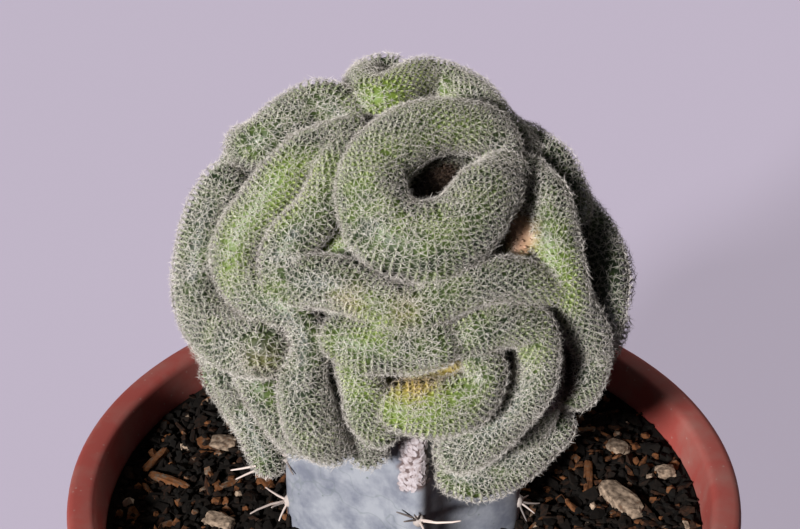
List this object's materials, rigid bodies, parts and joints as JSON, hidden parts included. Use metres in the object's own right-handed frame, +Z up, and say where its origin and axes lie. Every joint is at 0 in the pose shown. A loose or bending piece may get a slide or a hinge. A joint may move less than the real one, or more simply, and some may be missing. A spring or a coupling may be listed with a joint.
{
  "type": "potted crested mammillaria cactus",
  "caption": "Brain-like crested mammillaria ball of woolly folds, grafted on a short ribbed blue-green rootstock, in a round red nursery pot filled with gritty bark mix.",
  "frame": {"origin": "centre of the pot's foot ring, on the surface that the pot stands on", "axes": "+Z up along the pot's axis, -Y towards the front as pictured, +X to the right of the picture"},
  "size_m": [0.15, 0.15, 0.2184],
  "materials": {
    "pot_plastic": "injection-moulded brick-red polypropylene with a satin sheen, dulled by light wear and dust",
    "potting_mix": "dark moist compost of bark slivers and fibre with pale pumice grit",
    "rootstock_skin": "glaucous waxy blue-green skin with a corky grey scar, woolly areoles and cream spines",
    "crest_skin": "bright to dark green tubercled skin under a close coat of short greyish-white spines"
  },
  "bodies": {
    "root": {"pot": "pot_plastic", "potting_mix": "potting_mix", "rootstock": "rootstock_skin", "crest": "crest_skin"}
  },
  "joints": []
}
